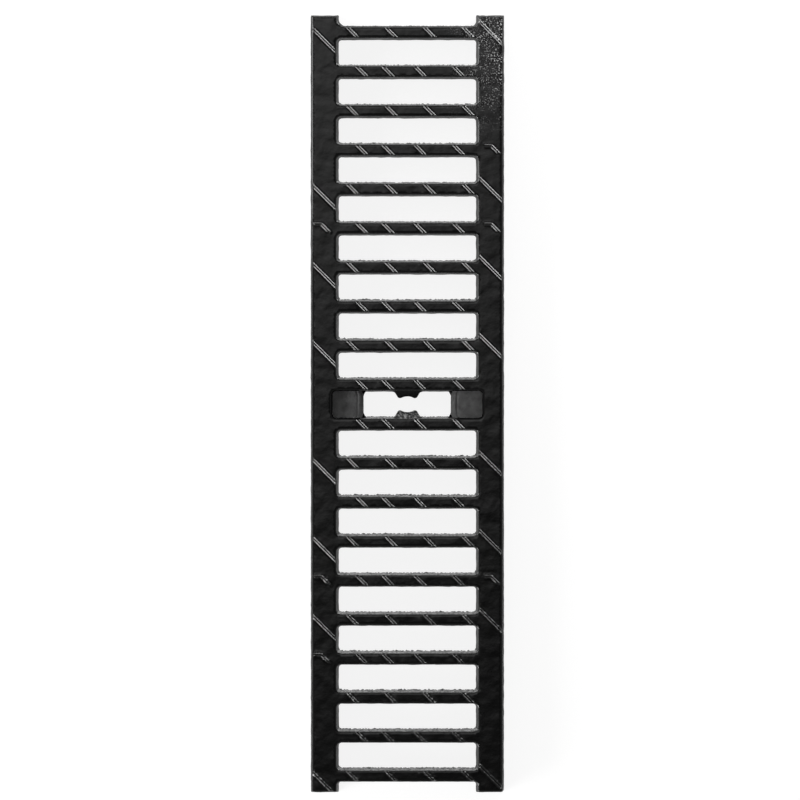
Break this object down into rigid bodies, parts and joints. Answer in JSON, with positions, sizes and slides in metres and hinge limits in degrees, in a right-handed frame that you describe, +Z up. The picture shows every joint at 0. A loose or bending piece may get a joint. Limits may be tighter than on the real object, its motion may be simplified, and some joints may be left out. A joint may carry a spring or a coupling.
{
  "type": "channel drain grate",
  "caption": "Long cast-iron grate for a drainage channel: cross slots between two rails, diagonal tread ribs and a recessed slot for a central locking bolt.",
  "frame": {"origin": "middle of the flat underside", "axes": "+X across the channel, +Y along the channel, +Z up out of the tread"},
  "size_m": [0.1236, 0.4974, 0.0159],
  "materials": {
    "coated_iron": "ductile iron casting dipped in glossy black bitumen paint"
  },
  "bodies": {
    "root": {"drain_grate": "coated_iron"}
  },
  "joints": []
}
